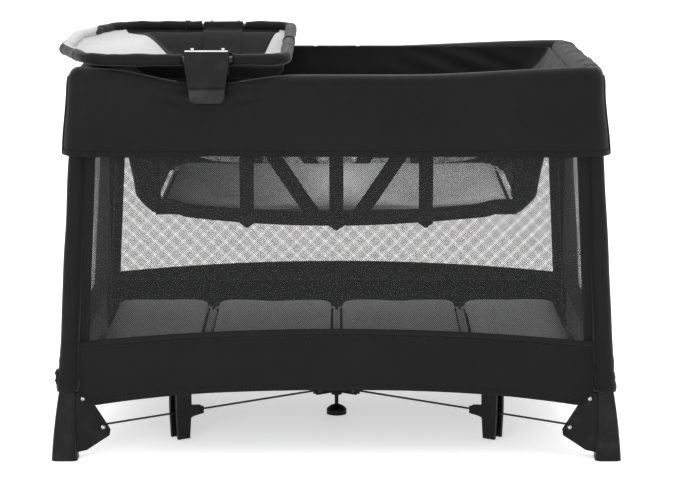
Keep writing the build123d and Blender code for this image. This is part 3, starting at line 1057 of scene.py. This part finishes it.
def bassinet_bars():
    """Upright and slanting bars on the long walls, bars on the end walls, and the corner panels."""
    bars = []
    for side in LONG_SIDES:
        for u in BAR_PLACES:
            bars.append(bar_strip(side, u, u, BAR_HALF, SHELL_TOP, bottom_z(u) + 0.022))
        for sign in (-1, 1):
            low_z = bottom_z(SLANT_LOW) + 0.022
            bars.append(bar_strip(side, sign * SLANT_TOP, sign * SLANT_LOW, SLANT_HALF, SHELL_TOP,
                                  low_z, 0.002))
    for side in ("left", "right"):
        for u in (-0.09, 0.09):
            bars.append(bar_strip(side, u, u, BAR_HALF, SHELL_TOP, shell_low.z + 0.045))
    for sx, sy in ((-1, -1), (-1, 1), (1, -1), (1, 1)):
        flip = np.array([sx, sy, 1])
        strip = []
        for z in np.linspace(shell_low.z + 0.030, SHELL_TOP, 24):
            half_x, half_y = shell_half(z)
            near = shell_ring(z, 0.0012, 480) * flip
            keep = near[(near[:, 0] > END_PANEL_X) & (near[:, 1] > half_y - 0.05)]
            turn = np.arctan2(keep[:, 1] - half_y + 0.06, keep[:, 0] - half_x + 0.06)
            strip.append(spaced_count(keep[np.argsort(turn)], 21) * flip)
        bars.append(thick_sheet(np.array(strip), TAPE_THICK))
    return bars


def make_bassinet_skirt():
    """Cloth that widens from the shell's top hem to the inner faces of the rail covers."""
    start = np.array(shell_half(SHELL_TOP))
    end = np.array([COVER_IN_X - 0.0075, COVER_IN_Y - 0.0040])
    ring = shell_ring(SHELL_TOP)
    rows = []
    for t in np.linspace(0, 1, 20):
        half = start + (end - start) * (0.35 * t + 0.65 * float(ease(t)))
        row = ring * np.array([*(half / start), 1])
        row[:, 2] = SHELL_TOP - 0.006 + 0.068 * t
        rows.append(row)
    grid = np.array(rows).transpose(1, 0, 2)
    out = grid_normals(grid, wrap=True)
    belly = np.sin(np.linspace(0, math.pi, 20))
    folds = wander(grid * np.array([1, 1, 0.3]), 22.0, 145.0) * belly * 0.0035
    slant = np.sin((grid[..., 0] * 0.8 + grid[..., 2] * 1.7) * 75) * hump(grid[..., 0], 0.27, 0.20)
    folds = folds + slant * belly * 0.004
    shape = thick_sheet(grid + out * folds[..., None], CLOTH_THICK, wrap=True)
    skirt = side_piece("bassinet_skirt", shape, BLACK_CLOTH, "front")


def make_bassinet_base():
    """The band round the shell's arched lower edge, and the cloth-covered board that carries the pad."""
    def edge(height):
        return lambda x: bottom_z(x) + height

    shares = np.array([0.0, 0.06, 0.25, 0.5, 0.75, 0.94, 1.0])
    grid = shell_grid(edge(0.0), edge(BASE_HIGH), shares, 0.0020)
    thick = 0.0034 + 0.0026 * np.sin(shares * math.pi)
    band = side_piece("bassinet_base_band", thick_sheet(grid, thick[None, :], wrap=True), DEEP_CLOTH, "front")
    xs = np.linspace(-BOARD_X, BOARD_X, 49)
    ys = np.linspace(-BOARD_Y, BOARD_Y, 29)
    plan = np.array([[(x, y, 0.0) for y in ys] for x in xs])
    upper = plan + np.array([0, 0, shell_low.z + 0.0230])
    under = plan.copy()
    under[..., 2] = np.minimum(bottom_z(plan[..., 0]), shell_low.z + 0.0205)
    under[..., 2] += 0.0008 * wander(plan, 15.0, 147.0)
    board = side_piece("bassinet_base_board", layers(upper, under), DEEP_CLOTH, "front")


def make_bassinet_tabs():
    """Pointed pull tabs under the upright bars."""
    parts = []
    for side in LONG_SIDES:
        for u in BAR_PLACES:
            grid = []
            for t in np.linspace(0, 1, 8):
                half = BAR_HALF * min(1.0, (1 - t) / 0.45) + 0.0012
                z = bottom_z(u) + 0.012 - t * 0.021
                grid.append([shell_face(side, u + w * half, max(z, shell_low.z), 0.0056)[:2] + (z,)
                             for w in np.linspace(-1, 1, 5)])
            parts.append(thick_sheet(np.array(grid), 0.0030))
    side_piece("bassinet_pull_tabs", merged(parts), STRAP, "front")


def make_bassinet_pad():
    low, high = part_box("bassinet_pad")
    skin = 0.003
    part = rounded_block((low.x + skin, low.y + skin, low.z + 0.0005),
                         (high.x - skin, high.y - skin, high.z - 0.005), 0.007, 3)
    obj = mesh_object("bassinet_pad_cushion", part, PAD_CLOTH)
    points = puffed(obj, voxel=0.0058, cap=0.005, floor_z=low.z)
    upper = ease((points[:, 2] - low.z) / (high.z - low.z))
    points[:, 2] += upper * 0.0012 * wander(points, 12.0, 150.0)
    points[:, 2] = np.clip(points[:, 2], low.z, high.z + 0.003)
    set_points(obj, points)
    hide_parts("bassinet_pad")
    gather(obj, "front", "bassinet_pad")
    z = (low.z + high.z) / 2 - 0.002
    welt = tube(rectangle_path(low.x, high.x, low.y, high.y, z, 0.02), 0.0020, 8)
    side_piece("bassinet_pad_welt", welt, PAD_CLOTH, "front", "bassinet_pad")


make_bassinet()
make_bassinet_pad()


# ---- changing table
SLEEVE_TUBE_R = 0.0110
CHANGER_NOSE_X = tube_low.x + 0.0065
CHANGER_CORNER_X = LEFT_PIN - 0.194
CHANGER_NOSE_Y = 0.130
CHANGER_END_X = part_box("changer_tube_right")[1].x - 0.0065
TUB_DEPTH = 0.046
TUB_LEFT = -0.405
TUB_RIGHT = -0.068
TUB_Y = 0.292
TUB_SLOPE = 0.085
TUB_EDGE_DROP = 0.012
LINING_LEFT = -0.455
LINING_RIGHT = -0.114
WHITE_SLEEVE_X = -0.497


def changer_path(plan, radius):
    """A bent tube's middle line from its plan points, with the bends rounded."""
    points = [np.array((x, y, TUBE_Z)) for x, y in plan]
    return arc_corner(points, [radius] * (len(points) - 2))


def left_path():
    plan = [(LEFT_PIN, -CHANGER_Y), (CHANGER_CORNER_X, -CHANGER_Y), (CHANGER_NOSE_X, -CHANGER_NOSE_Y),
            (CHANGER_NOSE_X, CHANGER_NOSE_Y), (CHANGER_CORNER_X, CHANGER_Y), (LEFT_PIN, CHANGER_Y)]
    return changer_path(plan, 0.075)


def right_path():
    plan = [(RIGHT_PIN, -CHANGER_Y), (CHANGER_END_X, -CHANGER_Y), (CHANGER_END_X, CHANGER_Y),
            (RIGHT_PIN, CHANGER_Y)]
    return changer_path(plan, 0.045)


def tub_height(x, y):
    """Height of the tub's cloth: over the rails it stays up, inside them it hangs down."""
    inside = np.minimum(TUB_Y - np.abs(y), np.minimum(x - TUB_LEFT, TUB_RIGHT - x))
    return TUBE_Z - TUB_EDGE_DROP - TUB_DEPTH * ease(inside / TUB_SLOPE)


def has_lining(x, left):
    """Whether the rim at x is on the part whose inner slope is lined in white."""
    return x < LINING_LEFT if left else x > LINING_RIGHT


def make_tub(side, path):
    """One half of the fabric tub, lofted from the sleeved tube down to its floor."""
    left = side == "left"
    front = np.linspace((SPLIT_X, -CHANGER_Y, TUBE_Z), path[0], 6)[:-1]
    back = np.linspace(path[-1], (SPLIT_X, CHANGER_Y, TUBE_Z), 6)[1:]
    rim = np.concatenate([front, path, back])
    centre = np.array([SPLIT_X, 0.0, TUBE_Z])
    shares = np.concatenate([np.linspace(0.985, 0.60, 24), np.linspace(0.56, 0.03, 14)])
    grid = []
    for p in rim:
        row = []
        for share in shares:
            q = centre + (p - centre) * share
            edge = ease((1 - share) / 0.05)
            z = TUBE_Z * (1 - edge) + edge * tub_height(q[0], q[1])
            row.append((q[0], q[1], z))
        grid.append(row)
    grid = np.array(grid)
    sag = wander(grid, 8.0, 170.0 + left * 5) * 0.0024 + wander(grid, 22.0, 175.0) * 0.0012
    grid[..., 2] += sag * ease((1 - shares) / 0.1)[None, :]
    verts, faces = thick_sheet(grid, 0.0032)
    half = len(verts) // 2
    columns = len(shares)
    index = []
    for f in faces:
        upper = sum((i < half) != left for i in f) >= 3
        row, column = divmod(min(i % half for i in f), columns)
        white = upper and has_lining(rim[row][0], left) and shares[column] > 0.42
        index.append(1 if white else 0)
    obj = mesh_object(f"changer_tub_{side}", (verts, faces), [DEEP_CLOTH, WHITE_CLOTH], index)
    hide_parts(f"changer_sling_{side}")
    return obj, rim


def make_rim_sleeve(side, path):
    """The padded sleeve round one bent tube; its inner side takes the white lining at the end."""
    left = side == "left"
    seed = 186.0 if left else 180.0
    _, out, up = path_frames(path)
    angles = np.linspace(0, 2 * math.pi, 24, endpoint=False)[:, None]
    rings = path[:, None] + SLEEVE_TUBE_R * (out[:, None] * np.cos(angles) + up[:, None] * np.sin(angles))
    swell = wander(rings, 26.0, seed) * 0.0022 + wander(rings, 70.0, seed + 4) * 0.0008
    rings = rings + (rings - path[:, None]) / SLEEVE_TUBE_R * swell[..., None]
    verts, faces = loft(list(rings))
    index = []
    for f in faces:
        middle = np.mean([verts[i] for i in f], axis=0)
        nearest = path[np.argmin(np.linalg.norm(path - middle, axis=1))]
        inwards = np.array([SPLIT_X, 0, TUBE_Z]) - nearest
        inwards /= np.linalg.norm(inwards)
        lean = (middle - nearest) / SLEEVE_TUBE_R
        over_top = -0.35 if middle[1] > -0.05 else 0.30
        white = left and middle[0] < WHITE_SLEEVE_X and lean @ inwards + 0.55 * lean[2] > over_top
        index.append(1 if white else 0)
    obj = body_piece(f"changer_sleeve_{side}", (verts, faces), [BLACK_CLOTH, WHITE_CLOTH], f"changer_{side}",
                     index=index)
    return obj


def make_changer_half(side, path, collar_at):
    """The sleeve, the half tub, its two seams and the sleeve's collar at one point of the path."""
    body = f"changer_{side}"
    left = side == "left"
    sleeve = make_rim_sleeve(side, path[3:-3])
    tub, rim = make_tub(side, path)
    pin = LEFT_PIN if left else RIGHT_PIN
    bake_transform(tub)
    seams = []
    for y_sign in (-1, 1):
        x = pin + (-0.002 if left else 0.006)
        ys = y_sign * np.linspace(CHANGER_Y - 0.016, CHANGER_Y - 0.15, 26)
        line = [(x, y, tub_height(x, y) + 0.0028) for y in ys]
        seams.append(tube(spaced(line, 0.005), 0.0018, 8))
    body_piece(f"changer_tub_seams_{side}", merged(seams), TAPE, body)
    middle = path[collar_at]
    half = path[collar_at + 1] - path[collar_at - 1]
    half = half / np.linalg.norm(half) * 0.005
    collar = tube(np.array([middle - half, middle, middle + half]), SLEEVE_TUBE_R + 0.0018, 24)
    body_piece(f"changer_sleeve_collar_{side}", collar, TAPE, body)


def make_changer():
    left, right = left_path(), right_path()
    make_changer_half("left", left, len(left) * 19 // 20)
    make_changer_half("right", right, len(right) // 2)


def make_clip_flap():
    """Cloth that carries the tub over each clip, from its inner wall to the top of the tubes."""
    low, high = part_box("changer_clips")
    for sign, end in ((-1, "front"), (1, "back")):
        rows = []
        for x in np.linspace(low.x, high.x, 24):
            wall = [(x, y, tub_height(x, y) + 0.0042) for y in np.linspace(0.225, 0.296, 14)]
            top = [(x, 0.3035, TUBE_Z - 0.004), (x, 0.3080, TUBE_Z + 0.006), (x, 0.3105, TUBE_Z + 0.0098),
                   (x, 0.3160, TUBE_Z + 0.0104)]
            rows.append(spaced_count(np.array(wall + top), 26) * np.array([1, sign, 1]))
        grid = np.array(rows)
        grid[..., 2] += wander(grid, 30.0, 190.0) * 0.0006
        flap = body_piece(f"changer_clip_flap_{end}", thick_sheet(grid, CLOTH_THICK), DEEP_CLOTH,
                          "changer_clips")


def lip_ring(y, inset, top, low, half):
    """Outline of a clip's lip at one depth, with wide round corners at the bottom."""
    path = arc_corner([(-half, y, top), (-half, y, low), (half, y, low), (half, y, top)], [0.013] * 2, 0.003)
    middle = np.array([0.0, y, (top + low) / 2])
    return middle + (path - middle) * (1 - inset / half)


def make_clip_trim():
    """Steel strips, buttons and lips of the two clips that hold the changing table; the lips' lighter plastic
    is a painted highlight along the clips' rim edges.
    """
    low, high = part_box("changer_clips")
    points = points_of(frame["nodes"]["changer_clips"])
    middle_x = (low.x + high.x) / 2
    lip = points[points[:, 2] < 0.700]
    lip_half = lip[:, 0].max() - middle_x + 0.0006
    lip_in = np.abs(lip[:, 1]).min()
    strips, buttons, lips = [], [], []
    for sign in (-1, 1):
        top = points[points[:, 1] * sign > 0.34][:, 2].max()
        y = sorted((sign * (high.y - 0.0136), sign * (high.y - 0.0052)))
        strips.append(rounded_block((low.x + 0.001, y[0], top), (high.x - 0.001, y[1], top + 0.0022), 0.0006))
        for x in (LEFT_PIN + 0.002, RIGHT_PIN + 0.002):
            middle = np.array([x, sign * (high.y - 0.0094), top + 0.002])
            line = [middle, middle + (0, 0, 0.0015), middle + (0, 0, 0.0046)]
            buttons.append(tube(line, 0.0029, 14))
        depths = ((lip_in - 0.0006, 0.001), (lip_in + 0.001, 0.0),
                  (high.y - 0.0015, 0.0), (high.y + 0.0005, 0.0018))
        rings = [lip_ring(sign * y, inset, 0.7105, low.z - 0.0006, lip_half) for y, inset in depths]
        lips.append(loft([ring + np.array([middle_x, 0, 0]) for ring in rings]))
    for name, shapes, material, slot, smooth in (
            ("changer_clip_strips", strips, PLATED, "bright_steel", False),
            ("changer_clip_buttons", buttons, WHITE_PLASTIC, "black_plastic", True),
            ("changer_clip_lips", lips, LIP_HIGHLIGHT_PLASTIC, "black_plastic", False)):
        body_piece(name, merged(shapes), material, "changer_clips", smooth=smooth)


make_changer()
make_clip_flap()
make_clip_trim()


# ---- hub strap and bolts
def make_hub_strap():
    low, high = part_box("hub_strap")
    xs = np.linspace(low.x, high.x, 40)
    half = (high.y - low.y) / 2 * 0.96
    lift = np.sin(np.linspace(0, math.pi, 40)) * 0.0016
    grid = np.array([[(x, w * half, (low.z + high.z) / 2 + h) for w in np.linspace(-1, 1, 9)]
                     for x, h in zip(xs, lift)])
    strap = mesh_object("hub_pull_strap", thick_sheet(grid, 0.0018), STRAP)
    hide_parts("hub_strap")
    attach(strap, "hub")


def bolt(centre, normal, radius=0.0030):
    """A domed bolt head with a washer, standing on a surface."""
    steps = ((0.0, 1.5), (0.0008, 1.5), (0.0009, 1.0), (0.0022, 0.96), (0.0032, 0.75), (0.0037, 0.35))
    side = np.cross(normal, (0, 0, 1.0))
    side /= np.linalg.norm(side)
    up = np.cross(side, normal)
    angles = np.linspace(0, 2 * math.pi, 18, endpoint=False)
    rings = [[centre + normal * h + radius * r * (side * math.cos(a) + up * math.sin(a)) for a in angles]
             for h, r in steps]
    return loft([np.array(r) for r in rings])


def make_bolts():
    """Plated bolt heads where the strut and the rod pass through the fin of each foot."""
    for corner, (sx, sy) in CORNERS.items():
        along = np.array([sx * LEG_LOW[0], sy * LEG_LOW[1], 0.0])
        along /= np.linalg.norm(along)
        across = np.array([-along[1], along[0], 0.0])
        for name, prefix in (("foot", "strut"), ("rod", "rod")):
            points = points_of(frame["nodes"][f"{prefix}_{corner}"])
            far = points[points @ along > (points @ along).max() - 0.022]
            side = far @ across
            heads = []
            for sign in (-1, 1):
                face = far[side * sign > (side * sign).max() - 0.0004]
                heads.append(bolt(face.mean(0), across * sign))
            body_piece(f"bolt_{name}_{corner}", merged(heads), PLATED, f"leg_{corner}")


make_hub_strap()
make_bolts()


# ---- finishes of the frame's own nodes
def finish_of(node):
    if node.startswith(("rod_", "changer_tube", "leg_tube", "strut_", "long_rail", "short_rail")):
        return PAINTED
    return PLASTIC


for node, obj in frame["nodes"].items():
    obj.data.materials.clear()
    obj.data.materials.append(finish_of(node))


# ---- studio
CAMERA_PLACE = (0.006, -4.73, 1.251)
CAMERA_PITCH = math.radians(10.71)
CAMERA_LENS = 126.1
FLOOR_REACH = 30.0
LIGHTS = (
    ("top", (0.3, 0.6, 3.4), 3.2, 75.0),
    ("front", (-1.6, -4.0, 1.5), 2.0, 48.0),
    ("side", (3.2, -1.6, 2.2), 1.6, 14.0),
)


def make_studio():
    scene = bpy.context.scene
    camera = bpy.data.cameras.new("camera")
    camera.lens = CAMERA_LENS
    camera.sensor_width = 36.0
    obj = bpy.data.objects.new("camera", camera)
    obj.location = CAMERA_PLACE
    obj.rotation_euler = (math.pi / 2 - CAMERA_PITCH, 0, 0)
    scene.collection.objects.link(obj)
    scene.camera = obj

    s = Shade("studio_floor", 0.75)
    s.colour(s.mix(s.noise(3.0), grey(0.90), grey(0.93)))
    s.shader.inputs["Emission Color"].default_value = (1.0, 1.0, 1.0, 1.0)
    s.shader.inputs["Emission Strength"].default_value = 0.5
    lines = (-FLOOR_REACH, 0.0, FLOOR_REACH)
    verts = [(x, y, -0.0005) for x in lines for y in lines]
    faces = [(i * 3 + j, i * 3 + j + 3, i * 3 + j + 4, i * 3 + j + 1) for i in range(2) for j in range(2)]
    floor = mesh_object("floor", (verts, faces), s.material)

    world = bpy.data.worlds.new("studio")
    world.use_nodes = True
    background = world.node_tree.nodes["Background"]
    background.inputs[0].default_value = (1.0, 1.0, 1.0, 1.0)
    background.inputs[1].default_value = 1.05
    scene.world = world
    scene.view_settings.view_transform = "Standard"

    for name, place, size, power in LIGHTS:
        light = bpy.data.lights.new(name, "AREA")
        light.size = size
        light.energy = power
        lamp = bpy.data.objects.new(name, light)
        lamp.location = place
        aim = Vector((0, 0, 0.45)) - Vector(place)
        lamp.rotation_euler = aim.to_track_quat("-Z", "Y").to_euler()
        scene.collection.objects.link(lamp)


make_studio()
